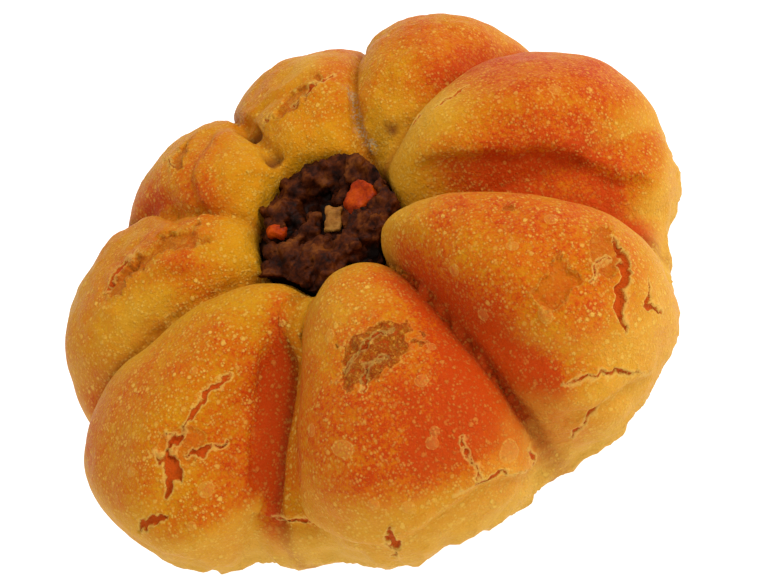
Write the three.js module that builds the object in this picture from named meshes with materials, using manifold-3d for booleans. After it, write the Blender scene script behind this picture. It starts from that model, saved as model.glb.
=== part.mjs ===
// A flower-shaped filled bread roll: eight lobes of one dough body, baked together round an open centre
// that shows a savoury minced filling with pieces of carrot and onion. Millimetres, +Z up. The flat
// base stands on z = 0 and the origin is the middle of the footprint.
import * as THREE from 'three';
import { mergeVertices } from 'three/addons/utils/BufferGeometryUtils.js';
import Module from 'manifold-3d';

const wasm = await Module();
wasm.setup();

// ---- driving dimensions ---------------------------------------------------------------------------
// Each lobe is a rounded bean, fat at the rim and narrow at the opening. angle: where it points (deg);
// reach: its centre from the middle; half_length, half_width: its radii along and across; centre_z: the
// height of its widest level; rise: how far the crest stands over that; taper: how much wider than the
// middle the rim end is.
const LOBES = [
  { angle: -158, reach: 34.6, half_length: 24.3, half_width: 15.6, centre_z: 16.5, rise: 17.2, taper: 0.45 },
  { angle: -100, reach: 31.8, half_length: 23.3, half_width: 16, centre_z: 15.5, rise: 20, taper: 0.43 },
  { angle: -57, reach: 32.7, half_length: 23.9, half_width: 14, centre_z: 19.5, rise: 20.5, taper: 0.5 },
  { angle: 0, reach: 31.2, half_length: 24.6, half_width: 17.3, centre_z: 15.5, rise: 22, taper: 0.42 },
  { angle: 45, reach: 34.7, half_length: 20.7, half_width: 14.5, centre_z: 16.5, rise: 19.2, taper: 0.4 },
  { angle: 80, reach: 31.2, half_length: 23.3, half_width: 17.2, centre_z: 15, rise: 21.4, taper: 0.27 },
  { angle: 121, reach: 30.4, half_length: 21.4, half_width: 16, centre_z: 17, rise: 20, taper: 0.42 },
  { angle: 160, reach: 32.3, half_length: 23.3, half_width: 17.6, centre_z: 15.5, rise: 20.5, taper: 0.42 },
];
const RIM_FULLNESS = 2.3; // 2 is a plain ellipsoid, higher is fuller in the corners
const OPENING_FULLNESS = 1.9; // the same for the end of a lobe at the opening
const SKIRT_FULLNESS = 3.4; // the same for the lower half of a lobe, which slumps on the tray
const CREST_TILT = 0.17; // how much higher than its middle a crest stands at the opening
const LOWER_DEPTH = 1.06; // a lobe's underside reaches this many times its centre_z down, then is cut flat
const BED = { radius: 49.2, centre_z: 8, up: 14.7, down: 9.5, fullness: 2.6 }; // the dough between lobes
const OPENING = { x: -1.9, y: 4.2, neck: 12.5, belly: 15.8, floor_z: 8, rim_z: 30 };
const CROWN_Z = 29.4; // top of the minced filling before its lumps
const LUMPS = { count: 13, radius: 2.6, spread: 9, sunk: 1.5 };
const GAP = 0.3; // between pieces that touch in the real roll
const FOOTPRINT_MIDDLE = { x: -0.8, y: -0.9 }; // where the middle of the footprint lies among the lobes
const GOLDEN_ANGLE = Math.PI * (3 - Math.sqrt(5));

// Pieces that lie in the top of the mince: where their middle is, their half sizes, how they are turned.
const MORSELS = {
  carrot_piece_1: { at: [5.5, 2.4, 29.4], half: [3.1, 2.8, 2.5], turn: 28, tilt: 14, colour: 0xb8400e },
  carrot_piece_2: { at: [-9, 5.6, 28.4], half: [2.1, 1.6, 1.7], turn: -35, tilt: -12, colour: 0xb8400e },
  onion_piece: { at: [-0.3, 0.4, 30.2], half: [2.1, 1.3, 0.8], turn: 62, tilt: 10, colour: 0x9a6a30 },
};
const MORSEL_FULLNESS = 3.6; // a cut dice with cooked, rounded corners

// ---- helpers --------------------------------------------------------------------------------------
function solid(geometry) {
  const bare = geometry.clone();
  bare.deleteAttribute('normal');
  bare.deleteAttribute('uv');
  const merged = mergeVertices(bare, 1e-4);
  return new wasm.Manifold(new wasm.Mesh({
    numProp: 3,
    vertProperties: new Float32Array(merged.attributes.position.array),
    triVerts: new Uint32Array(merged.index.array),
  }));
}

function piece(name, body, colour, roughness) {
  const mesh = body.getMesh();
  const geometry = new THREE.BufferGeometry();
  geometry.setAttribute('position', new THREE.BufferAttribute(new Float32Array(mesh.vertProperties), 3));
  geometry.setIndex(new THREE.BufferAttribute(new Uint32Array(mesh.triVerts), 1));
  geometry.translate(-FOOTPRINT_MIDDLE.x, -FOOTPRINT_MIDDLE.y, 0);
  geometry.computeVertexNormals();
  const made = new THREE.Mesh(
    geometry,
    new THREE.MeshStandardMaterial({ color: colour, roughness, metalness: 0 }),
  );
  made.name = name;
  return made;
}

// Moves every point of a geometry to where the function puts it.
function reshape(geometry, move) {
  const at = geometry.attributes.position;
  const p = new THREE.Vector3();
  for (let i = 0; i < at.count; i += 1) {
    p.fromBufferAttribute(at, i);
    move(p);
    at.setXYZ(i, p.x, p.y, p.z);
  }
  return geometry;
}

// A unit ball filled out along X by one fullness on each side, and round X by one above and one below.
function fullBall(around, down, outer, inner, lower) {
  const ball = new THREE.SphereGeometry(1, around, down).rotateZ(-Math.PI / 2);
  return reshape(ball, (p) => {
    const ends = p.x < 0 ? inner : outer;
    const round = Math.hypot(p.y, p.z);
    const section = p.z < 0 ? lower : outer;
    const corner = (Math.abs(p.y) ** section + Math.abs(p.z) ** section) ** (1 / section);
    const grow = round < 1e-6 ? 0 : round ** (2 / outer) / corner;
    p.set(Math.sign(p.x) * Math.abs(p.x) ** (2 / ends), p.y * grow, p.z * grow);
  });
}

function lobeBody(lobe) {
  const ball = fullBall(26, 18, RIM_FULLNESS, OPENING_FULLNESS, SKIRT_FULLNESS);
  reshape(ball, (p) => {
    const crest = lobe.rise * (1 - CREST_TILT * p.x);
    const tall = p.z > 0 ? crest : lobe.centre_z * LOWER_DEPTH;
    p.set(
      lobe.reach + lobe.half_length * p.x,
      lobe.half_width * p.y * (1 + lobe.taper * p.x),
      lobe.centre_z + tall * p.z,
    );
  });
  ball.rotateZ(THREE.MathUtils.degToRad(lobe.angle));
  return solid(ball);
}

// A turned body about the Z axis through (x, y), from a list of [radius, height] points.
function turned(points, segments, x, y) {
  const profile = points.map(([r, z]) => new THREE.Vector2(r, z));
  const lathe = new THREE.LatheGeometry(profile, segments);
  lathe.rotateX(Math.PI / 2);
  lathe.translate(x, y, 0);
  return solid(lathe);
}

function bedBody() {
  const steps = 14;
  const points = [];
  for (let i = 0; i <= steps; i += 1) {
    const angle = -Math.PI / 2 + (Math.PI * i) / steps;
    const out = Math.cos(angle) < 1e-6 ? 0 : Math.cos(angle) ** (2 / BED.fullness);
    const up = Math.sign(Math.sin(angle)) * Math.abs(Math.sin(angle)) ** (2 / BED.fullness);
    points.push([BED.radius * out, BED.centre_z + (up > 0 ? BED.up : BED.down) * up]);
  }
  return turned(points, 48, 0, 0);
}

function morselBody(morsel, extra) {
  const ball = fullBall(12, 8, MORSEL_FULLNESS, MORSEL_FULLNESS, MORSEL_FULLNESS);
  const [a, b, c] = morsel.half;
  ball.scale(a + extra, b + extra, c + extra);
  ball.rotateX(THREE.MathUtils.degToRad(morsel.tilt));
  ball.rotateZ(THREE.MathUtils.degToRad(morsel.turn));
  ball.translate(...morsel.at);
  return solid(ball);
}

// ---- the dough body -------------------------------------------------------------------------------
let dough = bedBody();
for (const lobe of LOBES) {
  dough = dough.add(lobeBody(lobe));
}
const tray = new THREE.BoxGeometry(200, 200, 40).translate(0, 0, -20);
dough = dough.subtract(solid(tray));

const o = OPENING;
const pocket = [
  [0, o.floor_z],
  [o.belly * 0.7, o.floor_z],
  [o.belly * 0.95, o.floor_z + 3],
  [o.belly, o.floor_z + 8],
  [o.belly * 0.97, o.floor_z + 13],
  [o.neck, o.rim_z - 4],
  [o.neck, o.rim_z + 2],
  [o.neck + 4, o.rim_z + 15],
  [0, o.rim_z + 15],
];
dough = dough.subtract(turned(pocket, 26, o.x, o.y));

// ---- the filling and the pieces in its top --------------------------------------------------------
const mince = [
  [0, o.floor_z + GAP],
  [o.belly * 0.7 - GAP, o.floor_z + GAP],
  [o.belly * 0.95 - GAP, o.floor_z + 3 + GAP],
  [o.belly - GAP, o.floor_z + 8],
  [o.belly * 0.97 - GAP, o.floor_z + 13 - GAP],
  [o.neck - GAP, o.rim_z - 4 - GAP],
  [o.neck - 2.4, CROWN_Z - 1],
  [o.neck - 6, CROWN_Z],
  [0, CROWN_Z],
];
let filling = turned(mince, 26, o.x, o.y);
for (let i = 0; i < LUMPS.count; i += 1) {
  const share = (i + 0.6) / LUMPS.count;
  const away = LUMPS.spread * Math.sqrt(share);
  const size = LUMPS.radius * (1 + 0.25 * Math.sin(i * 2.3));
  const lump = new THREE.SphereGeometry(size, 9, 6);
  lump.translate(
    o.x + away * Math.cos(i * GOLDEN_ANGLE),
    o.y + away * Math.sin(i * GOLDEN_ANGLE),
    CROWN_Z - LUMPS.sunk - 0.6 * share,
  );
  filling = filling.add(solid(lump));
}
for (const morsel of Object.values(MORSELS)) {
  filling = filling.subtract(morselBody(morsel, GAP));
}

// ---- the part -------------------------------------------------------------------------------------
const group = new THREE.Group();
group.name = 'filled_bread_roll';
group.add(piece('bread_roll', dough, 0xc8862a, 0.55));
group.add(piece('filling', filling, 0x4a2212, 0.4));
for (const [name, morsel] of Object.entries(MORSELS)) {
  group.add(piece(name, morselBody(morsel, 0), morsel.colour, 0.35));
}
export default group;
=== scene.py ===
import itertools
import math

import bpy
import numpy as np
from mathutils import Matrix, Vector


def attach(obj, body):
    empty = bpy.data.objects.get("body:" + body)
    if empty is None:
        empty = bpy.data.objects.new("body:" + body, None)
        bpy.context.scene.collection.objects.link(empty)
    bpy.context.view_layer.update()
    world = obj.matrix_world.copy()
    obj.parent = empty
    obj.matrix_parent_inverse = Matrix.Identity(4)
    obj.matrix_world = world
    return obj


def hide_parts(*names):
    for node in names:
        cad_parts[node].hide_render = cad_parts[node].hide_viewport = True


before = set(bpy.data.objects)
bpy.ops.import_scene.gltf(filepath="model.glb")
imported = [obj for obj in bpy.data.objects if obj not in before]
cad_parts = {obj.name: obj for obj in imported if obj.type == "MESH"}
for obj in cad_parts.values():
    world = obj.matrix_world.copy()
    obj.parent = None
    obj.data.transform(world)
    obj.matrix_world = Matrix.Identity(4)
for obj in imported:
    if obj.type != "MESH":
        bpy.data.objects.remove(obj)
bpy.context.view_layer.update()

MM = 0.001
# Middle of the footprint, seen from the point that the lobes are laid out round (mm)
MID = np.array([-0.8, -0.9])

# The eight lobes: angle in plan (deg), distance of the middle, half length, half width, height of the
# middle and rise above it (mm), widening outwards, fullness at the opening, and the side (+1 or -1) of
# the band that a neighbour pressed flat
LOBES = {
    "A": (-158, 34.6, 24.3, 15.6, 16.5, 17.2, 0.45, 2.6, 1),
    "B": (-100, 31.8, 23.3, 16, 15.5, 20, 0.43, 2.6, 0),
    "C": (-57, 32.7, 23.9, 14, 19.5, 20.5, 0.5, 2.1, -1),
    "D": (0, 31.2, 24.6, 17.3, 15.5, 22, 0.42, 2.1, -1),
    "E": (45, 34.7, 20.7, 14.5, 16.5, 19.2, 0.4, 1.9, -1),
    "F": (80, 31.2, 23.3, 17.2, 15, 21.4, 0.27, 1.9, -1),
    "G": (121, 30.4, 21.4, 16, 17, 20, 0.42, 1.9, 1),
    "H": (160, 32.3, 23.3, 17.6, 15.5, 20.5, 0.42, 1.9, 1),
}
FULLNESS = 2.3  # of the sections and outer ends of the lobes; 2 is an ellipse
SKIRT_FULLNESS = 3.4  # of the lower half of the sections
CREST_TILT = 0.17  # how much the crests fall outwards
LOWER_DEPTH = 1.06  # the lower half reaches a little under the tray, so that the base comes out flat
# Low bridges of dough between lobes: angle, distance, half length, half width, middle height, rise
WEBS = [
    (-133, 19, 6.5, 10.5, 20, 12),
    (-127, 30, 16, 6, 12, 11),
    (30, 17, 7, 5, 22, 7),
]
# The dough under the lobes and the rim round their feet, both turned: radius, middle height, upper and
# lower half height, fullness, and the length that stands for one unit of the form (mm)
BED = (48.2, 8.5, 14.7, 10, 2.6, 14)
FOOT = (47.2, 3.6, 4.6, 5.5, 2.4, 6)
OPENING = np.array([-1.9, 4.2])
NECK = 12.3  # radius of the opening
POCKET_FLOOR = 8


def deselect():
    for o in list(bpy.context.selected_objects):
        o.select_set(False)


def active(o):
    deselect()
    o.select_set(True)
    bpy.context.view_layer.objects.active = o


def apply_modifiers(o):
    active(o)
    for m in list(o.modifiers):
        bpy.ops.object.modifier_apply(modifier=m.name)


def points(o):
    a = np.empty(len(o.data.vertices) * 3)
    o.data.vertices.foreach_get("co", a)
    return a.reshape(-1, 3) / MM


def put(o, p):
    o.data.vertices.foreach_set("co", (p * MM).ravel())
    o.data.update()


def normals(o):
    a = np.empty(len(o.data.vertices) * 3)
    o.data.vertices.foreach_get("normal", a)
    return a.reshape(-1, 3)


def smoothstep(lo, hi, x):
    t = np.clip((x - lo) / (hi - lo), 0, 1)
    return t * t * (3 - 2 * t)


def lattice(p, seed):
    """Smooth noise from -1 to 1, one cell to each unit of p."""
    i = np.floor(p).astype(np.int64)
    f = p - i
    f = f * f * f * (f * (f * 6 - 15) + 10)

    def corner(a, b, c):
        n = (i[:, 0] + a) * 374761393 + (i[:, 1] + b) * 668265263 + (i[:, 2] + c) * 2147483647
        n = n + seed * 1274126177
        n = (n ^ (n >> 13)) * 1274126177
        n = n ^ (n >> 16)
        return (n & 0xFFFF) / 32767.5 - 1

    out = 0
    for a, b, c in itertools.product((0, 1), repeat=3):
        w = [f[:, k] if high else 1 - f[:, k] for k, high in enumerate((a, b, c))]
        out = out + w[0] * w[1] * w[2] * corner(a, b, c)
    return out


def noise(p, size, seed, octaves=3, rough=0.5):
    """Noise with swells of the given size (mm), and finer ones on them."""
    out, weight, total = 0, 1.0, 0.0
    for k in range(octaves):
        out = out + weight * lattice(p / size * 2 ** k + 17.3 * k, seed + k)
        total += weight
        weight *= rough
    return out / total * 1.6


def soft_min(a, b, k):
    """Joins two forms, with a fillet of about k millimetres."""
    h = np.clip(0.5 + 0.5 * (b - a) / k, 0, 1)
    return b * (1 - h) + a * h - k * h * (1 - h)


def soft_max(a, b, k):
    return -soft_min(-a, -b, k)


def local(p, angle):
    """The points along and across a lobe that lies at this angle, and their height."""
    t = math.radians(angle)
    q = p[:, :2] + MID
    along = q[:, 0] * math.cos(t) + q[:, 1] * math.sin(t)
    return along, -q[:, 0] * math.sin(t) + q[:, 1] * math.cos(t), p[:, 2]


def lobe_field(p, name):
    """Distance to a lobe, roughly in millimetres, less than 0 inside it."""
    angle, reach, long, wide, mid, rise, taper, full, band = LOBES[name]
    x, y, z = local(p, angle)
    u = (x - reach) / long
    n = FULLNESS
    ends = np.abs(u) ** np.where(u < 0, full, n)
    broad = np.maximum(0.15, 1 + taper * u) * wide
    crest = rise * np.maximum(0.3, 1 - CREST_TILT * u)

    def body(width, height):
        v = np.abs(y) / width
        tall = np.where(z > mid, crest * height, mid * LOWER_DEPTH)
        w = np.abs(z - mid) / tall
        low = (v ** SKIRT_FULLNESS + w ** SKIRT_FULLNESS) ** (n / SKIRT_FULLNESS)
        section = np.where(z > mid, v ** n + w ** n, low)
        return ((ends + section) ** (1 / n) - 1) * wide

    if not band:
        return body(broad, 1)
    side = smoothstep(-0.2, 0.5, y * band / broad)
    pressed = {"A": 0.2, "C": 0.2, "D": 0.3}.get(name, 0.1)
    dome = body(broad * (1 - pressed * side), 1)
    wedge = body(broad * 1.06, 0.58 if name == "D" else 0.66) + 4 * (1 - side)
    return soft_min(dome, wedge, 1.0)


def turned_field(p, radius, mid, up, down, fullness, scale):
    """Distance to a turned form, roughly in millimetres."""
    q = p[:, :2] + MID
    r = np.hypot(q[:, 0], q[:, 1]) / radius
    h = p[:, 2] - mid
    w = np.abs(h) / np.where(h > 0, up, down)
    return ((r ** fullness + w ** fullness) ** (1 / fullness) - 1) * scale


def wall(z):
    """Radius of the pocket at a height: a narrow neck over a wider belly."""
    return NECK + 3.4 * smoothstep(29, 12, z) + 1.5 * np.maximum(0, z - 32) / 4


def dough_field(p):
    """Distance to the whole dough body, roughly in millimetres, less than 0 inside it."""
    bed = turned_field(p, *BED)
    k = 1.2 + 2.8 * smoothstep(12, 20, p[:, 2])
    out = bed
    webs = []
    for angle, reach, long, wide, mid, rise in WEBS:
        x, y, z = local(p, angle)
        away = np.sqrt(((x - reach) / long) ** 2 + (y / wide) ** 2 + ((z - mid) / rise) ** 2)
        webs.append((away - 1) * min(long, wide))
    for name in LOBES:
        f = lobe_field(p, name)
        if name == "A":
            f = soft_min(f, webs[0], 4.0)
        out = soft_min(out, soft_min(f, bed, k), 0.9)
    out = soft_min(out, soft_min(webs[1], webs[2], 1.0), 2.0)
    out = soft_min(out, turned_field(p, *FOOT), 1.0)
    q = p[:, :2] + MID - OPENING
    pocket = np.maximum(np.hypot(q[:, 0], q[:, 1]) - wall(p[:, 2]), POCKET_FLOOR - p[:, 2])
    out = soft_max(out, -pocket, 1.8)
    return soft_max(out, -p[:, 2], 2.0)


def settle(p, rounds, step=0.05):
    """Moves points onto the surface of the dough body, by Newton's steps of a millimetre at most."""
    for _ in range(rounds):
        f = dough_field(p)
        g = np.empty_like(p)
        for k in range(3):
            d = np.zeros(3)
            d[k] = step
            g[:, k] = (dough_field(p + d) - f) / step
        n2 = np.maximum((g * g).sum(1), 0.05)
        move = -(f / n2)[:, None] * g
        far = np.linalg.norm(move, axis=1)
        move *= np.minimum(1, 1.0 / np.maximum(far, 1e-9))[:, None]
        p = p + move * 0.9
    return p


def join(parts):
    """Joins the pieces into the first one, with its place in its mesh."""
    deselect()
    for o in parts:
        o.select_set(True)
    bpy.context.view_layer.objects.active = parts[0]
    bpy.ops.object.join()
    bpy.ops.object.transform_apply()
    return bpy.context.object


def remesh(o, size):
    m = o.modifiers.new("grown together", "REMESH")
    m.mode = "VOXEL"
    m.voxel_size = size * MM


def even_out(o, rounds):
    m = o.modifiers.new("even out", "SMOOTH")
    m.factor = 0.5
    m.iterations = rounds


def make_dough():
    """Eight balls of dough and a low disc joined, evened out and settled onto the blended shape."""
    deselect()
    parts = []
    for angle, reach, long, wide, mid, rise, taper, full, band in LOBES.values():
        bpy.ops.mesh.primitive_uv_sphere_add(segments=36, ring_count=24, radius=1)
        o = bpy.context.object
        q = np.array([v.co for v in o.data.vertices])
        x = reach + long * q[:, 0]
        y = wide * q[:, 1] * (1 + taper * q[:, 0])
        z = mid + np.where(q[:, 2] > 0, rise, mid) * q[:, 2]
        t = math.radians(angle)
        east = x * math.cos(t) - y * math.sin(t) - MID[0]
        north = x * math.sin(t) + y * math.cos(t) - MID[1]
        put(o, np.stack([east, north, z], 1))
        parts.append(o)
    middle = (-MID[0] * MM, -MID[1] * MM, 11 * MM)
    bpy.ops.mesh.primitive_cylinder_add(vertices=64, radius=47 * MM, depth=20 * MM, location=middle)
    parts.append(bpy.context.object)
    dough = join(parts)
    above = (*(OPENING - MID) * MM, 29 * MM)
    bpy.ops.mesh.primitive_cylinder_add(vertices=48, radius=NECK * MM, depth=40 * MM, location=above)
    hole = bpy.context.object
    for size in (COARSE, VOXEL):
        remesh(dough, size)
        apply_modifiers(dough)
        if size == COARSE:
            m = dough.modifiers.new("pocket", "BOOLEAN")
            m.operation = "DIFFERENCE"
            m.object = hole
            m.solver = "EXACT"
            apply_modifiers(dough)
            put(dough, settle(points(dough), 6))
    bpy.data.objects.remove(hole)
    put(dough, settle(points(dough), 6))
    even_out(dough, 4)
    apply_modifiers(dough)
    dough.name = "bread_crust"
    return dough


def refine(o, spots, reach):
    """Divides the faces near the spots once more, for a skin fine enough for cracks and flakes."""
    mesh = o.data
    c = np.empty(len(mesh.polygons) * 3)
    mesh.polygons.foreach_get("center", c)
    c = c.reshape(-1, 3) / MM
    pick = np.zeros(len(c), bool)
    for s in spots:
        pick |= ((c - s) ** 2).sum(1) < reach * reach
    active(o)
    bpy.ops.object.mode_set(mode="EDIT")
    bpy.ops.mesh.select_mode(type="FACE")
    bpy.ops.mesh.select_all(action="DESELECT")
    bpy.ops.object.mode_set(mode="OBJECT")
    mesh.polygons.foreach_set("select", pick)
    bpy.ops.object.mode_set(mode="EDIT")
    bpy.ops.mesh.subdivide(number_cuts=1, smoothness=0)
    bpy.ops.object.mode_set(mode="OBJECT")


def snap(p, spot):
    """The point of the skin nearest to a spot."""
    return p[((p - np.array(spot, float)) ** 2).sum(1).argmin()]


def follow(p, n, path):
    """Signed distance (mm) to a path on the skin, and how far along it (0 to 1) each point lies."""
    q = [snap(p, s) for s in path]
    best = np.full(len(p), 1e9)
    side = np.zeros(len(p))
    share = np.zeros(len(p))
    lengths = [np.linalg.norm(b - a) for a, b in zip(q, q[1:])]
    total = sum(lengths)
    done = 0.0
    for a, b, ln in zip(q, q[1:], lengths):
        ab = (b - a) / max(ln, 1e-6)
        t = np.clip((p - a) @ ab, 0, ln)
        away = p - (a + t[:, None] * ab)
        d = np.linalg.norm(away, axis=1)
        closer = d < best
        best = np.where(closer, d, best)
        side = np.where(closer, np.sign((np.cross(n, ab) * away).sum(1)), side)
        share = np.where(closer, (done + t) / total, share)
        done += ln
    return best * np.where(side == 0, 1, side), share


# Cracks of the crust: points they pass (mm), half width of the gap, depth, lift of the left and right lip
CRACKS = [
    # the forked split on the broad front left lobe
    ([(-25, -17, 30), (-30, -20, 31), (-33, -22, 31), (-36, -23, 30), (-39, -23, 30)], 0.45, 0.3, 0.7, 0.0),
    ([(-36, -23, 30), (-40, -25, 29), (-40, -27, 27), (-41, -28, 26), (-44, -29, 24)], 1.0, 1.0, 0.5, 0.1),
    ([(-38, -26, 28), (-35, -26, 27), (-33, -26, 26), (-30, -26, 26)], 0.6, 0.7, 0.2, 0.3),
    # the tear at its foot
    ([(-51, -28, 20), (-47, -29, 22), (-44, -30, 22)], 0.8, 0.7, 0.1, 0.6),
    # the split down the outer side of the right front lobe, with its two flakes
    ([(36, -35, 32), (35, -37, 32), (35, -40, 31), (34, -42, 30), (32, -44, 30), (31, -45, 29),
      (30, -47, 27), (29, -48, 25)], 0.75, 0.9, 0.5, 0.35),
    ([(33, -38, 33), (30, -41, 33), (28, -42, 33)], 0.35, 0.3, 0.0, 0.5),
    ([(37, -41, 27), (35, -44, 25), (37, -45, 20)], 0.35, 0.5, 0.4, 0.2),
    # the ragged step along its foot
    ([(16, -50, 26), (21, -50, 25), (24, -51, 23), (27, -51, 20), (32, -48, 14)], 0.35, 0.4, 0.6, 0.0),
    ([(23, -52, 20), (18, -52, 17), (13, -51, 13)], 0.4, 0.5, 0.2, 0.5),
    # curled flakes and the line of the rim under the front lobe
    ([(1, -49, 27), (1, -51, 25), (1, -52, 23), (0, -53, 20)], 0.28, 0.3, 0.5, 0.0),
    ([(9, -50, 17), (9, -51, 12)], 0.3, 0.3, 0.4, 0.1),
    ([(-5, -54, 21), (0, -54, 20), (3, -53, 19), (7, -51, 14)], 0.3, 0.4, 0.5, 0.0),
    ([(-15, -52, 20), (-16, -52, 16), (-17, -51, 11)], 0.6, 0.8, 0.4, 0.1),
    ([(-32, -36, 18), (-27, -40, 16), (-24, -45, 17), (-19, -49, 16)], 0.4, 0.6, 0.0, 0.5),
    # short slits on the shoulder of the tall back right lobe
    ([(23, 4, 38), (27, 4, 38), (31, 5, 37)], 0.25, 0.3, 0.2, 0.0),
    ([(19, 5, 35), (22, 5, 37)], 0.25, 0.3, 0.2, 0.0),
    # creases of the back left lobes
    ([(-20, 34, 32), (-19, 28, 35)], 0.45, 0.4, 0.3, 0.1),
    ([(-4, 27, 35), (1, 28, 36)], 0.45, 0.5, 0.4, 0.0),
    ([(3, 27, 36), (9, 28, 36), (14, 30, 35)], 0.5, 0.5, 0.0, 0.4),
    ([(-39, 10, 33), (-35, 13, 34), (-30, 13, 35)], 0.4, 0.4, 0.4, 0.1),
    ([(-10, -34, 35), (-6, -33, 36), (-2, -31, 36), (1, -32, 35)], 0.3, 0.35, 0.3, 0.0),
    ([(-8, -39, 33), (-6, -35, 35), (-2, -36, 35)], 0.3, 0.35, 0.3, 0.1),
]
# Folds where a dome meets its pressed band or the skirt: points they pass (mm), lower side, drop, width of the
# band and how much it darkens, partly browning and partly painted shade of the band
FOLDS = [
    ([(13, 0, 34), (17, -2, 35), (22, -5, 35), (29, -8, 33), (37, -11, 29), (44, -15, 23), (49, -18, 17)],
     -1, 1.3, 6.5, 0.6),
    ([(-18, -14, 32), (-21, -18, 29), (-25, -22, 26), (-28, -26, 24), (-33, -33, 18)], 1, 0.9, 6.0, 0.45),
    ([(-36, -33, 18), (-31, -37, 17), (-27, -40, 16), (-24, -45, 17), (-20, -49, 16), (-15, -52, 15)],
     -1, 1.1, 3.0, 0.0),
    ([(-18, -51, 17), (-11, -54, 18), (-5, -54, 19), (0, -54, 19), (3, -53, 18), (7, -51, 14), (11, -50, 12)],
     -1, 1.0, 3.0, 0.0),
    ([(12, -50, 18), (17, -50, 20), (21, -51, 20), (27, -51, 18), (32, -48, 13)], -1, 0.9, 3.0, 0.0),
    ([(-50, -18, 20), (-50, -26, 17), (-46, -32, 15), (-41, -36, 13)], -1, 0.7, 3.0, 0.0),
    # soft folds in the skin of the back left lobes
    ([(-36, 22, 26), (-31, 26, 30), (-26, 24, 34), (-22, 19, 35)], 1, 0.9, 3.5, 0.2),
    ([(-8, 33, 35), (-12, 28, 37), (-16, 23, 36), (-18, 18, 35), (-19, 13, 33)], -1, 1.0, 3.0, 0.3),
    ([(-30, 30, 28), (-27, 25, 32), (-24, 18, 34), (-23, 12, 34)], 1, 0.8, 3.0, 0.25),
    ([(-10, 36, 32), (-4, 34, 35), (4, 33, 37), (11, 34, 35)], -1, 0.7, 3.0, 0.1),
    ([(-40, 6, 30), (-34, 8, 34), (-28, 6, 36), (-22, 3, 34)], -1, 0.6, 3.0, 0.1),
]
# Where the top skin has flaked off: middle, half length, half width, turn in plan (deg), drop, crumbling
TEARS = [
    ((-4, -34, 35), 6.0, 4.4, 30, 0.15, 1.0),
    ((23, -41, 35), 3.8, 2.4, 40, 0.6, 0.0),
    ((33, -38, 33), 3.6, 2.6, 60, 0.3, 0.3),
    ((-25, 10, 36), 6.5, 2.6, -8, 0.8, 0.35),
    ((-36, 10, 33), 4.5, 1.8, 25, 0.7, 0.2),
    ((5, 28, 36), 7.0, 2.2, 10, 0.6, 0.4),
    ((-37, -25, 29), 3.4, 2.2, 10, 0.25, 0.1),
    ((24, -26, 39), 1.4, 1.0, 0, 0.4, 0.6),
    ((-17, 30, 35), 4.0, 1.6, 60, 0.6, 0.3),
]
# Blisters of the skin: middle, radius, height
BLISTERS = [
    ((-37, -30, 23), 1.1, 0.18), ((0, -41, 32), 1.1, 0.2), ((-15, -43, 30), 1.4, 0.15),
    ((-2, -48, 29), 0.7, 0.2), ((-3, -49, 28), 0.8, 0.2), ((6, -51, 20), 1.7, 0.35),
    ((-15, -50, 24), 1.0, 0.2), ((20, -43, 33), 1.0, 0.4), ((-18, -37, 30), 0.8, 0.15),
    ((12, -30, 37), 0.9, 0.15), ((10, -38, 34), 0.8, 0.15), ((-30, -16, 32), 0.8, 0.15),
    ((-9, -27, 36), 0.9, 0.15), ((4, -37, 33), 0.6, 0.15), ((-11, -52, 22), 1.1, 0.2),
    ((40, -2, 30), 0.9, 0.15), ((28, -31, 37), 1.1, 0.2), ((21, -33, 38), 0.9, 0.15),
    ((-45, -22, 26), 0.7, 0.15), ((-42, -33, 21), 0.8, 0.15),
]
# Pits: middle, radius, depth
PITS = [((-5, 29, 33), 1.2, 1.4), ((-3, 20, 33), 1.3, 1.1), ((17, 13, 31), 1.3, 0.3)]
# Line of crumbs in the valley behind the opening
CRUMBS = [(14, 27, 34), (14, 24, 33), (13, 20, 32), (12, 16, 30), (12, 14, 29)]
# Where the oven browned it more, or left it creamier: middle, radius, change in brown, in cream
BAKING = [
    ((9, -8, 33), 8, -0.5, 0.6), ((-36, 1, 28), 8, -0.6, 0.6), ((-18, 35, 32), 6, -0.3, 0.8),
    ((10, 37, 33), 6, -0.2, 0.7), ((19, 7, 34), 8, -0.5, 0.5), ((-44, 20, 26), 8, -0.4, 0.5),
    ((42, 5, 33), 10, 0.3, -0.5), ((31, 27, 33), 9, 0.25, -0.5), ((-10, 23, 35), 8, 0.4, -0.2),
    ((-16, 13, 33), 6, 0.4, -0.2), ((3, 20, 34), 7, 0.35, -0.2), ((-22, 7, 34), 6, 0.35, -0.2),
    ((24, 5, 36), 6, -0.3, 0.4), ((-6, -23, 33), 7, -0.3, 0.3), ((-28, 12, 36), 6, 0.3, 0.0),
    ((16, -37, 34), 9, 0.15, 0.0), ((-1, -47, 28), 9, 0.5, -0.7), ((11, -50, 17), 7, 0.5, -0.6),
    ((-30, -33, 24), 7, 0.2, -0.4),
]
# How brown each lobe's top is, which side of it darkens along its groove, and how much: browning and painted
# groove shade
BROWNING = {"A": 0.5, "B": 0.72, "C": 0.64, "D": 0.64, "E": 0.44, "F": 0.42, "G": 0.5, "H": 0.44}
DEEP_AND_SHADED_SIDE = {"A": 1, "B": 1, "C": -1, "D": -1, "E": -1, "F": -1, "G": 1, "H": 1}
FLANK_BROWN_AND_SHADE = {"A": 0.7, "B": 0.48, "C": 0.6, "D": 0.55, "E": 0.5, "F": 0.3, "G": 0.3, "H": 0.05}


# What the crust's colours follow: how brown it is, with painted groove shade and rim reflection, how pale and
# how creamy, both with painted rim reflection on the steep outer sides, floury like the rim, the painted shade
# of the valleys between lobes, the distance to a crack, the flaked patches and how they crumble, blisters,
# pits, crumbs, and the soft inside of the pocket
LAYERS = ("brown_and_painted_light", "pale_and_rim_sheen", "skirt", "cream_and_rim_sheen", "valley_shade", "crack", "tear", "crumble", "disc", "pit", "crumb",
          "inner")


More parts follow.
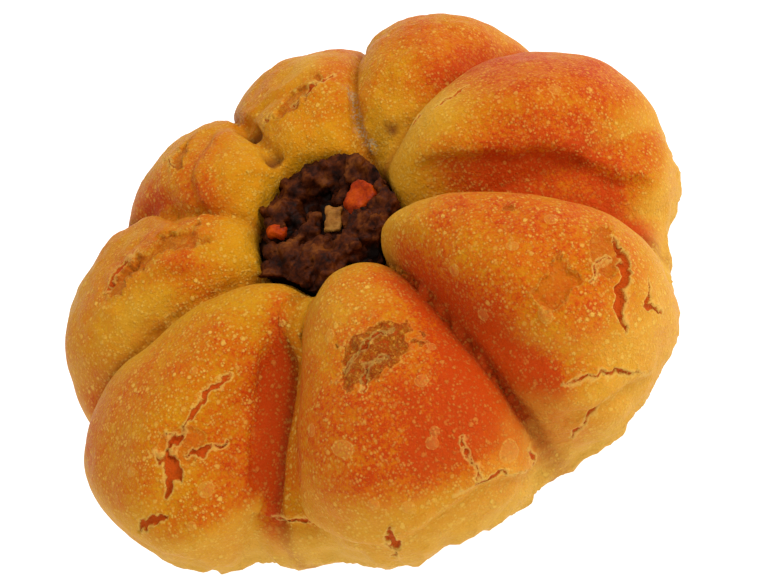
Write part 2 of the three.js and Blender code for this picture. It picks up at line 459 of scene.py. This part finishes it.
def add_layer(o, name, values):
    layer = o.data.attributes.new(name, "FLOAT", "POINT")
    layer.data.foreach_set("value", np.ascontiguousarray(values, dtype=np.float32))


def weather(o):
    """Cracks, flakes, blisters, pits and wrinkles of the crust, and the layers its colours follow."""
    p = points(o)
    n = normals(o)
    fields = np.stack([lobe_field(p, name) for name in LOBES])
    order = np.sort(fields, axis=0)
    owner = fields.argmin(0)
    gap = order[1] - order[0]
    q = p[:, :2] + MID
    r = np.hypot(q[:, 0], q[:, 1])
    hole = np.hypot(q[:, 0] - OPENING[0], q[:, 1] - OPENING[1])
    # where two lobes meet, their values blend
    w = np.exp(-np.maximum(fields - order[0], 0) / 2.5)
    level = (w * np.array(list(BROWNING.values()))[:, None]).sum(0) / w.sum(0)
    # one side of each lobe was pressed and is deep orange along its groove, partly browned and partly painted
    # groove shade; the other stayed pale along its edge
    across = np.stack([local(p, LOBES[name][0])[1] / LOBES[name][3] * DEEP_AND_SHADED_SIDE[name] for name in LOBES])
    deep_and_shaded_side = smoothstep(-0.25, 0.3, (w * across).sum(0) / w.sum(0))
    edge = smoothstep(10, 2, gap) * smoothstep(6, 14, p[:, 2])
    flank_brown_and_shade = edge * deep_and_shaded_side
    pale_edge = edge * (1 - deep_and_shaded_side)
    # the valleys between lobes, which get painted shade
    valley_shade = smoothstep(3.0, 0.2, gap)
    skirt = smoothstep(16, 6, p[:, 2] + 2.5 * noise(p, 9, 5, 2)) * smoothstep(36, 42, r)
    lip = smoothstep(22, 13, hole)
    # steep outer sides: partly paler crust, partly painted rim reflection where the sides turn away
    outer_side_and_rim_sheen = smoothstep(0.75, 0.1, n[:, 2]) * smoothstep(40, 50, r)
    brown_and_painted_light = level * smoothstep(14, 34, hole) * (1 - 0.55 * outer_side_and_rim_sheen) * (1 - 0.45 * pale_edge)
    # the deep flank darkens: partly browning, partly painted shade of the groove
    flank_brown_and_shade_amount = (w * np.array(list(FLANK_BROWN_AND_SHADE.values()))[:, None]).sum(0) / w.sum(0)
    brown_and_painted_light = np.clip(brown_and_painted_light + flank_brown_and_shade_amount * flank_brown_and_shade * smoothstep(12, 22, hole), 0, 1.4)

    # creamy tone: painted rim reflection on the steep outer sides, then the oven's creamier spots
    cream_and_rim_sheen = outer_side_and_rim_sheen.copy()
    for middle, radius, browner, creamier in BAKING:
        near = np.exp(-(((p - middle) ** 2).sum(1) / radius ** 2)) * (1 + 0.5 * noise(p, 5, 141, 2))
        brown_and_painted_light = brown_and_painted_light + browner * near
        cream_and_rim_sheen = cream_and_rim_sheen + creamier * near

    # uneven dough: swells, grooves between the lobes, wrinkles of the rim, creases of the back lobes
    lift = 0.55 * noise(p, 16, 3, 2) + 0.2 * noise(p, 6, 8, 2)
    lift = lift - 0.9 * smoothstep(1.6, 0.1, gap) * smoothstep(12, 18, p[:, 2]) * smoothstep(16, 20, hole)
    ridge = 1 - np.abs(noise(p * [1, 1, 2.0], 8, 21, 3))
    lift = lift + skirt * (1.35 * (ridge - 0.62)) + 0.4 * skirt * noise(p, 2.4, 33, 2)
    far = np.isin(owner, [list(LOBES).index(name) for name in "EFGH"]).astype(float)
    lift = lift + 0.5 * far * (1 - np.abs(noise(p, 5, 51, 3)) - 0.6) * smoothstep(24, 32, p[:, 2])

    # folds: a step down on one side of the path and a low ridge on the other
    for path, side, drop, wide, browned_and_shaded in FOLDS:
        d, share = follow(p, n, path)
        d = d * side + 0.7 * noise(p, 7, 41, 2)
        fade = smoothstep(0, 0.2, share) * smoothstep(1, 0.8, share)
        band = smoothstep(-0.4, 1.4, d) * np.exp(-np.maximum(d, 0) ** 2 / wide ** 2) * fade
        lift = lift - drop * band + 0.45 * drop * np.exp(-((d + 1.2) / 1.8) ** 2) * fade
        # the band deepens: partly browning, partly painted shade of the concave band
        brown_and_painted_light = brown_and_painted_light + browned_and_shaded * (band + 0.5 * smoothstep(-9, 0, d) * (d < 0) * fade)

    # cracks: a ragged gap that thins towards its ends, between lifted lips
    crack = np.full(len(p), 3.0)
    wobble = 0.55 * noise(p, 3.0, 61, 2) + 0.5 * noise(p, 1.1, 71, 2, 0.8)
    for path, half, deep, left, right in CRACKS:
        d, share = follow(p, n, path)
        ends = np.clip(np.minimum(share, 1 - share) / 0.5, 0, 1) ** 0.7
        near = np.abs(d) < 6
        d = d + wobble
        width = half * (0.95 * ends + 0.5 * noise(p, 2.2, 77, 1) * ends)
        inside = smoothstep(0.3, -0.35, np.abs(d) - width) * smoothstep(0, 0.12, ends)
        lips = np.where(d > 0, left, right) * np.exp(-np.maximum(np.abs(d) - width, 0) / 1.6) * (1 - inside)
        lift = lift + np.where(near, ends * lips - 0.75 * deep * inside, 0)
        out = np.where(near & (ends > 0.01), np.abs(d) - width + 0.9 * (1 - smoothstep(0, 0.2, ends)), 3.0)
        crack = np.minimum(crack, out)

    # flaked patches: a lower, rough floor inside a curled edge
    tear = np.full(len(p), -1.0)
    crumble = np.zeros(len(p))
    for middle, long, wide, turn, drop, rough in TEARS:
        c = snap(p, middle)
        t = math.radians(turn)
        a = np.array([math.cos(t), math.sin(t), 0])
        s = (p - c) @ a
        rest = np.linalg.norm((p - c) - s[:, None] * a, axis=1)
        e = 1 - np.sqrt((s / long) ** 2 + (rest / wide) ** 2) + 0.6 * noise(p, 3.2, 81, 3, 0.75)
        e = np.where(np.hypot(s / long, rest / wide) < 2, e, -1)
        inside = smoothstep(0, 0.12, e)
        curled = (0.25 - 0.15 * rough) * np.exp(-((e + 0.04) / 0.08) ** 2)
        lift = lift - drop * inside + 0.5 * rough * inside * noise(p, 1.7, 91, 2, 0.7) + curled
        crumble = np.where(e > tear, rough, crumble)
        tear = np.maximum(tear, e)

    # blisters, pits and crumbs
    disc = np.zeros(len(p))
    for middle, radius, high in BLISTERS:
        c = snap(p, middle)
        d = np.linalg.norm(p - c, axis=1) * (1 + 0.2 * noise(p, 2, 101, 1)) / radius
        lift = lift + high * np.exp(-(d ** 4))
        disc = np.maximum(disc, np.clip(1.6 - d, 0, 1.6) / 1.6)
    pit = np.zeros(len(p))
    for middle, radius, deep in PITS:
        c = snap(p, middle)
        d = np.linalg.norm(p - c, axis=1) * (1 + 0.3 * noise(p, 2, 111, 1)) / radius
        lift = lift - deep * np.exp(-(d ** 2))
        pit = np.maximum(pit, np.exp(-(d ** 2)))
    d, share = follow(p, n, CRUMBS)
    crumb = smoothstep(1.3, 0.3, np.abs(d) + 0.5 * noise(p, 2, 131, 2)) * smoothstep(0, 0.1, share)
    lift = lift + crumb * 0.45 * np.maximum(noise(p, 1.3, 121, 2), -0.3)

    # the base and the inside of the pocket stay plain
    inner = smoothstep(26, 20, p[:, 2]) * (hole < 20)
    under = smoothstep(1.5, 0.3, p[:, 2])
    lift = lift * (1 - under) * (1 - inner)
    moved = p + n * lift[:, None]
    moved[:, 2] = np.maximum(moved[:, 2], 0)
    put(o, moved)
    # pale: near the opening, on far lobes and unpressed edges, and painted rim reflection on the steep outer
    # sides
    pale_and_rim_sheen = np.clip(lip * 0.5 + 0.3 * outer_side_and_rim_sheen + 0.1 * far * (1 - flank_brown_and_shade) + 0.12 * pale_edge, 0, 1)
    # the painted shade of the valleys is kept below the crests
    layers = [brown_and_painted_light, pale_and_rim_sheen, skirt, np.clip(cream_and_rim_sheen, 0, 1), valley_shade * smoothstep(34, 26, p[:, 2]), crack, tear,
              crumble, disc, pit, crumb, inner]
    for name, values in zip(LAYERS, layers):
        add_layer(o, name, values)


COARSE = 1.6
VOXEL = 0.78
dough = make_dough()
detail = [s for c in CRACKS for s in c[0]] + [t[0] for t in TEARS] + [b[0] for b in BLISTERS] + CRUMBS
refine(dough, np.array(detail, float), 3.6)
put(dough, settle(points(dough), 2))
weather(dough)
active(dough)
bpy.ops.object.shade_smooth()
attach(dough, "root")
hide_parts("bread_roll")


def linear(hexcode):
    c = [int(hexcode[i:i + 2], 16) / 255 for i in (1, 3, 5)]
    return tuple(v / 12.92 if v <= 0.04045 else ((v + 0.055) / 1.055) ** 2.4 for v in c) + (1.0,)


def node(tree, kind, links=None, values=None, out=0, stops=None, **settings):
    """Adds one node with its settings, fixed values, ramp stops and links, and gives one of its outputs."""
    made = tree.nodes.new(kind)
    for key, value in settings.items():
        setattr(made, key, value)
    for key, value in (values or {}).items():
        made.inputs[key].default_value = value
    for key, source in (links or {}).items():
        tree.links.new(source, made.inputs[key])
    if stops:
        ends = made.color_ramp.elements
        ends[0].position, ends[0].color = stops[0][0], linear(stops[0][1])
        ends[1].position, ends[1].color = stops[-1][0], linear(stops[-1][1])
        for at, tone in stops[1:-1]:
            ends.new(at).color = linear(tone)
    return made.outputs[out]


def mask(t, *parts):
    """Multiplies its parts. A part (source, low, high, least, most) takes low to high as least to most."""
    whole = None
    for part in parts:
        if isinstance(part, tuple):
            limits = dict(zip(("From Min", "From Max", "To Min", "To Max"), part[1:]))
            part = node(t, "ShaderNodeMapRange", {"Value": part[0]}, limits)
        if whole is None:
            whole = part
        else:
            whole = node(t, "ShaderNodeMath", {0: whole, 1: part}, operation="MULTIPLY")
    return whole


def pile(t, base, *rows):
    """Adds to the base the mask of each row (parts..., share), as large as its share."""
    for *parts, share in rows:
        base = node(t, "ShaderNodeMath", {0: mask(t, *parts), 2: base}, {1: share}, operation="MULTIPLY_ADD")
    return base


def paint(t, colour, *rows):
    """Lays the tone of each row (tone, parts...) over what is below, as thick as its mask."""
    for tone, *parts in rows:
        colour = node(t, "ShaderNodeMix", {6: colour, 0: mask(t, *parts)}, {7: linear(tone)}, 2,
                      data_type="RGBA")
    return colour


def speckle(t, mm, uneven, scale, fewest, largest, soft):
    """Uneven specks of chance size, at most one to each cell of 1 / scale millimetres."""
    chance = node(t, "ShaderNodeTexVoronoi", {"Vector": mm}, {"Scale": scale, "Randomness": 1.0}, "Color")
    away = chance.node.outputs["Distance"]
    size = node(t, "ShaderNodeSeparateColor", {"Color": chance}, out="Red")
    size = pile(t, mask(t, (size, fewest, 1.0, 0.0, largest)), ((uneven, 0.3, 0.7, -0.16, 0.16), 1.0))
    return mask(t, (pile(t, size, (away, -1.0)), -0.5 * soft, 0.5 * soft, 0.0, 1.0))


def start(name, *noises):
    """A new material, object coordinates in millimetres, and noises (swells per mm, detail, roughness)."""
    m = bpy.data.materials.new(name)
    m.use_nodes = True
    t = m.node_tree
    place = node(t, "ShaderNodeTexCoord", out="Object")
    mm = node(t, "ShaderNodeMapping", {"Vector": place}, {"Scale": (1000, 1000, 1000)})
    made = [node(t, "ShaderNodeTexNoise", {"Vector": mm}, dict(zip(("Scale", "Detail", "Roughness"), row)))
            for row in noises]
    return m, t, t.nodes["Principled BSDF"], mm, made


def surface(t, shader, colour, rough, height, strength, deepest, constants):
    """Links colour, roughness and bump to the shader, and sets on it what is the same all over."""
    bump = node(t, "ShaderNodeBump", {"Height": height}, {"Strength": strength, "Distance": deepest}, "Normal")
    for key, source in (("Base Color", colour), ("Roughness", rough), ("Normal", bump)):
        t.links.new(source, shader.inputs[key])
    for key, value in constants.items():
        shader.inputs[key].default_value = value


def crust_material():
    """Wheat crust, egg washed and oven baked: satin, golden to deep orange, with fine pale specks where
    the skin blistered, paler where the lobes touched or met the tray. Its noises are swells of the
    browning some 8 mm across, 2 mm mottling, grain of half a millimetre, drawn coarser than flour so that
    it shows, and flakes of two thirds of a millimetre in the torn patches."""
    m, t, shader, mm, (broad, mottle, grain, flakes) = start(
        "baked wheat crust", (0.12, 3.0, 0.55), (0.5, 5.0, 0.7), (1.9, 3.0, 0.7), (1.5, 4.0, 0.75))
    layer = {k: node(t, "ShaderNodeAttribute", out="Fac", attribute_name=k) for k in LAYERS}

    # how brown: the layer, which also holds painted groove shade and painted rim reflection, swayed by the
    # swells, the mottling and the grain
    deep = pile(t, layer["brown_and_painted_light"], ((broad, 0.3, 0.7, -0.24, 0.24), 1.0),
                ((mottle, 0.35, 0.65, -0.17, 0.17), 1.0), ((grain, 0.38, 0.62, -0.2, 0.2), 1.0))
    colour = node(t, "ShaderNodeValToRGB", {"Fac": deep},
                  stops=[(0.0, "#CA8A0A"), (0.4, "#C67402"), (0.75, "#C65A00"), (1.0, "#BC3C00")])
    # fine pale specks, a third to one millimetre across
    dust = mask(t, speckle(t, mm, grain, 2.1, 0.25, 0.55, 0.4), (mottle, 0.35, 0.6, 0.2, 0.8))
    speck = mask(t, speckle(t, mm, grain, 1.0, 0.66, 0.42, 0.2), (broad, 0.35, 0.65, 0.35, 0.9))
    specks = node(t, "ShaderNodeMath", {0: speck, 1: dust}, operation="MAXIMUM")
    # the flaked patches and the cracks have ragged edges
    ragged = ((grain, 0.25, 0.75, -0.12, 0.12), 1.0)
    torn = pile(t, layer["tear"], ragged)
    bare = mask(t, (torn, 0.0, 0.14, 0.0, 0.55))
    inside = mask(t, bare, layer["crumble"])
    apart = pile(t, layer["crack"], ragged)
    lips = mask(t, (apart, 0.55, 0.25, 0.0, 0.5), (apart, -0.1, 0.1, 0.0, 1.0))
    split = mask(t, (apart, 0.12, -0.1, 0.0, 0.9))
    disc = layer["disc"]
    colour = paint(
        t, colour,
        # pale skin near the opening with painted rim reflection, the floury rim, painted shade in the valleys,
        # creamy shoulders with painted rim reflection, specks
        ("#D28C0C", layer["pale_and_rim_sheen"], (grain, 0.35, 0.65, 0.75, 1.1)),
        ("#D8AC4C", layer["skirt"], (mottle, 0.35, 0.65, 0.5, 0.95)),
        ("#922A00", layer["valley_shade"], (mottle, 0.0, 1.0, 0.45, 0.85)),
        ("#DCA236", layer["cream_and_rim_sheen"], (mottle, 0.35, 0.65, 0.3, 0.75)),
        ("#E6B84E", specks, (layer["brown_and_painted_light"], 0.55, 1.15, 0.85, 0.3)),
        # blister caps: a slightly paler disc with a dry ring
        ("#D9AC50", (disc, 0.36, 0.5, 0.0, 0.16)),
        ("#D9A848", (disc, 0.3, 0.36, 0.0, 1.0), (disc, 0.48, 0.4, 0.0, 1.0), (grain, 0.35, 0.65, 0.0, 0.6)),
        # flaked patches: the deeper skin shows, crumbling into flakes, with a dry torn edge
        ("#BE5C08", bare),
        ("#DCA238", inside, (flakes, 0.54, 0.6, 0.0, 0.9)),
        ("#A43002", inside, (flakes, 0.46, 0.42, 0.0, 1.3)),
        ("#D9A848", (torn, -0.1, -0.02, 0.0, 1.0), (torn, 0.05, 0.0, 0.0, 0.25)),
        # cracks: dry pale lips, orange red in the gap
        ("#E2B456", lips),
        ("#C04404", split),
        # pits, crumbs and the soft inside of the pocket
        ("#7E4412", layer["pit"]),
        ("#B5A680", layer["crumb"], (grain, 0.45, 0.6, 0.0, 0.8)),
        ("#C89A4C", layer["inner"]))
    rough = pile(t, mask(t, (mottle, 0.3, 0.7, 0.4, 0.56)), (specks, 0.25))
    low = node(t, "ShaderNodeMath", {0: mottle}, {1: 0.45}, operation="MULTIPLY")
    height = pile(t, low, (grain, 0.3), (specks, 0.1), (inside, (flakes, 0.42, 0.6, 0.0, 1.0), 0.5),
                  (bare, -0.15), (lips, 0.12), (split, -0.08))
    surface(t, shader, colour, rough, height, 0.9, 0.0013,
            {"IOR": 1.4, "Specular IOR Level": 0.1, "Sheen Weight": 0.02, "Sheen Roughness": 0.35,
             "Sheen Tint": linear("#FFF0DC")})
    return m


dough.data.materials.append(crust_material())

# Lumps of the filling: x, y, z of the middle and radius (mm)
LUMPS = [
    (1.5, 14.0, 28.6, 3.4), (5.6, 13.0, 28.9, 3.6), (8.2, 10.0, 28.8, 3.4), (9.0, 6.2, 28.4, 3.0),
    (-2.6, 14.4, 28.2, 3.2), (-6.4, 11.2, 28.2, 3.3), (-9.2, 7.6, 28.0, 2.8), (-10.8, 3.4, 28.0, 2.6),
    (-3.6, 2.7, 28.4, 3.0), (-8.8, -0.8, 28.2, 3.3), (-5.0, -3.2, 28.5, 3.3), (0.2, -5.4, 28.5, 3.2),
    (4.2, -2.6, 28.6, 3.3), (8.0, 0.4, 28.0, 3.0), (-6.8, 2.2, 27.4, 2.4), (10.4, 3.2, 28.4, 2.8),
    (9.6, -1.0, 28.6, 2.8), (-11.4, -1.6, 28.4, 3.0), (-8.0, -4.8, 28.8, 3.2), (-3.4, -6.6, 29.0, 3.0),
    (2.9, 7.8, 27.2, 2.2), (-4.8, 8.0, 26.6, 2.0), (-1.4, -0.6, 27.0, 2.2), (3.0, 1.6, 27.4, 2.8),
    (5.6, -5.2, 28.6, 3.0), (-10.0, -5.4, 25.6, 3.4), (-6.0, -8.4, 25.4, 3.6), (-1.2, -9.6, 25.2, 3.6),
    (3.6, -9.0, 25.4, 3.4), (7.8, -5.6, 26.0, 3.2), (-12.6, -2.2, 26.0, 2.8), (-8.6, -9.0, 23.4, 3.2),
    (-3.6, -11.0, 23.2, 3.2), (1.4, -11.0, 23.4, 3.0), (10.4, -2.4, 26.0, 2.8),
]


def make_filling():
    """Minced filling heaped in the opening: a plug and many lumps grown together."""
    rng = np.random.default_rng(7)
    cx, cy = OPENING[0] - MID[0], OPENING[1] - MID[1]
    bpy.ops.mesh.primitive_cone_add(vertices=48, radius1=15 * MM, radius2=11.9 * MM, depth=18.8 * MM,
                                    location=(cx * MM, cy * MM, 17.7 * MM))
    parts = [bpy.context.object]
    grains = []
    for x, y, z, radius in LUMPS:
        for k in range(9):
            a = rng.uniform(0, 2 * math.pi)
            up = rng.uniform(0.1, 0.95)
            out = radius * math.sqrt(1 - up * up)
            at = (x + out * math.cos(a), y + out * math.sin(a), z + radius * up - 0.25)
            grains.append((*at, rng.uniform(0.5, 1.0)))
    for x, y, z, radius in LUMPS + grains:
        bpy.ops.mesh.primitive_ico_sphere_add(subdivisions=3 if radius > 1.2 else 2, radius=radius * MM,
                                              location=(x * MM, y * MM, z * MM),
                                              rotation=tuple(rng.uniform(0, 3, 3)))
        o = bpy.context.object
        o.scale = (1, rng.uniform(0.75, 1.0), rng.uniform(0.75, 0.95))
        parts.append(o)
    o = join(parts)
    remesh(o, 0.42)
    even_out(o, 3)
    apply_modifiers(o)
    p = points(o)
    top = smoothstep(23, 26, p[:, 2])
    p = p + normals(o) * (top * (0.7 * noise(p, 2.2, 5, 3) + 0.4 * noise(p, 0.9, 9, 2)))[:, None]
    d = p[:, :2] - [cx, cy]
    r = np.hypot(d[:, 0], d[:, 1])
    most = wall(p[:, 2]) - 0.25
    # the sides keep inside the pocket, and near the front rim they run up to the dough
    held = p.copy()
    held[:, :2] = [cx, cy] + d * np.minimum(1, most / np.maximum(r, 1e-6))[:, None]
    free = (p[:, 2] > 21) & (d[:, 1] < -3)
    p[~free] = held[~free]
    for share in [0.2] * 15 + [1.0]:
        pressed = dough_field(p) < 0.5
        p[pressed] += (held[pressed] - p[pressed]) * share
    put(o, p)
    # painted shade: the filling darkens where it sits low in the pocket
    add_layer(o, "sunk_shade", smoothstep(30.2, 27.2, p[:, 2]))
    active(o)
    bpy.ops.object.shade_smooth()
    o.name = "minced_filling"
    return o


def make_morsel(name, size, at, turn, rough, seed):
    """A diced or flaked piece: a cube bevelled, subdivided, roughened and laid in its place."""
    deselect()
    bpy.ops.mesh.primitive_cube_add(size=1)
    o = bpy.context.object
    o.name = name
    o.scale = [s * MM for s in size]
    bpy.ops.object.transform_apply()
    bpy.ops.object.mode_set(mode="EDIT")
    bpy.ops.mesh.select_all(action="SELECT")
    bpy.ops.mesh.bevel(offset=0.34 * min(size) * MM, segments=2)
    bpy.ops.object.mode_set(mode="OBJECT")
    m = o.modifiers.new("rounder", "SUBSURF")
    m.levels = m.render_levels = 3
    apply_modifiers(o)
    p = points(o)
    reach = max(size)
    p = p * (1 + 0.16 * noise(p + seed, 0.45 * reach, seed, 1))[:, None]
    p = p + normals(o) * (rough * noise(p, 1.0, seed + 3, 2))[:, None]
    p[:, 2] += 0.25 * noise(p * [1, 1, 0], 0.8 * reach, seed + 6, 1)
    put(o, p)
    o.rotation_euler = [math.radians(a) for a in turn]
    o.location = [c * MM for c in at]
    bpy.ops.object.transform_apply()
    bpy.ops.object.shade_smooth()
    return o


def food_material(name, stops, scale, rough, coat):
    """Cooked food, moist: a slow noise and one six times finer blend its tones, and painted shade darkens its
    hollows.
    The scale is the swells of the slow noise per millimetre."""
    m, t, shader, mm, (slow, fine) = start(name, (scale, 2.0, 0.5), (6 * scale, 3.0, 0.6))
    sunk_shade = node(t, "ShaderNodeAttribute", out="Fac", attribute_name="sunk_shade")
    blend = pile(t, mask(t, (slow, 0.3, 0.7, 0.0, 0.8)), ((fine, 0.3, 0.7, -0.1, 0.3), 1.0), (sunk_shade, -0.5))
    colour = node(t, "ShaderNodeValToRGB", {"Fac": blend}, stops=stops)
    height = pile(t, node(t, "ShaderNodeMath", {0: slow}, {1: 0.5}, operation="MULTIPLY"), (fine, 0.3))
    surface(t, shader, colour, mask(t, (fine, 0.3, 0.7, rough - 0.08, rough + 0.12)), height, 0.7, 0.0006,
            {"IOR": 1.42, "Specular IOR Level": 0.09, "Coat Weight": coat, "Coat Roughness": 0.18})
    return m


filling = make_filling()
# minced filling, stewed: dark brown lumps of some 3 mm, redder and paler where they stand proud, with painted
# shade where they sit low
filling.data.materials.append(food_material(
    "stewed minced filling, glazed", [(0.0, "#100400"), (0.3, "#2E0E02"), (0.6, "#4C1E04"), (1.0, "#743C0E")],
    0.3, 0.5, 0.0))
# cooked carrot, diced: soft orange red, moist, with tones that change over 2 mm
carrot = food_material("cooked carrot, diced", [(0.0, "#5A1600"), (0.45, "#942A00"), (1.0, "#B84400")],
                       0.5, 0.45, 0.02)
# cooked onion, flaked: tan and moist, browned by the sauce
onion = food_material("cooked onion, flaked", [(0.0, "#6A3E12"), (0.5, "#8E5A20"), (1.0, "#A87634")],
                      0.6, 0.46, 0.02)
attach(filling, "root")
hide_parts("filling")
# name, size (mm), place (mm), turn (deg), roughness (mm), seed, material, node that it replaces, slot
MORSELS = [
    ("carrot_dice", (6.2, 5.4, 4.6), (6.3, 3.0, 29.5), (14, -10, 28), 0.25, 11,
     carrot, "carrot_piece_1", "carrot"),
    ("carrot_scrap", (3.6, 2.4, 2.2), (-8.8, 6.2, 29.9), (-12, 20, -35), 0.2, 23,
     carrot, "carrot_piece_2", "carrot"),
    ("onion_flake", (4.2, 2.8, 1.3), (0.5, 1.3, 30.4), (24, -16, 58), 0.3, 37, onion, "onion_piece", "onion"),
]
for name, size, at, turn, rough, seed, material, part, slot in MORSELS:
    morsel = make_morsel(name, size, at, turn, rough, seed)
    morsel.data.materials.append(material)
    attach(morsel, "root")
    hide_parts(part)

# ---- camera, floor and light ----
ELEV, ROLL, LENS = 44.22, 30.2, 71.34  # deg above the table, deg round the line of sight, mm
EYE = (2.47, -191.93, 197.32)  # mm
back = Vector((0, -math.cos(math.radians(ELEV)), math.sin(math.radians(ELEV))))
level = Vector((1, 0, 0))
steep = back.cross(level)
turn = math.radians(ROLL)
across = level * math.cos(turn) - steep * math.sin(turn)
upward = level * math.sin(turn) + steep * math.cos(turn)
lens = bpy.data.cameras.new("camera")
lens.lens = LENS
lens.clip_start = 0.005
camera = bpy.data.objects.new("camera", lens)
bpy.context.scene.collection.objects.link(camera)
camera.matrix_world = Matrix([[across[i], upward[i], back[i], EYE[i] * MM] for i in range(3)] + [[0, 0, 0, 1]])
bpy.context.scene.camera = camera
bpy.context.scene.view_settings.view_transform = "Standard"

bpy.ops.mesh.primitive_plane_add(size=3, location=(0, 0, 0))
floor = bpy.context.object
floor.name = "floor"
card = bpy.data.materials.new("white card")
card.use_nodes = True
face = card.node_tree.nodes["Principled BSDF"]
face.inputs["Base Color"].default_value = linear("#9A9A98")
face.inputs["Roughness"].default_value = 0.9
face.inputs["Emission Color"].default_value = (1, 1, 1, 1)
face.inputs["Emission Strength"].default_value = 1.0
floor.data.materials.append(card)

world = bpy.data.worlds.new("studio")
bpy.context.scene.world = world
world.use_nodes = True
world.node_tree.nodes["Background"].inputs["Color"].default_value = (1, 1, 1, 1)
world.node_tree.nodes["Background"].inputs["Strength"].default_value = 0.85


def softbox(name, at, size, power):
    light = bpy.data.lights.new(name, "AREA")
    light.shape = "DISK"
    light.size = size
    light.energy = power
    o = bpy.data.objects.new(name, light)
    bpy.context.scene.collection.objects.link(o)
    o.location = at
    o.rotation_euler = (Vector((0, 0, 0.02)) - Vector(at)).to_track_quat("-Z", "Y").to_euler()


softbox("right softbox", (0.42, -0.10, 0.42), 0.3, 2.0)
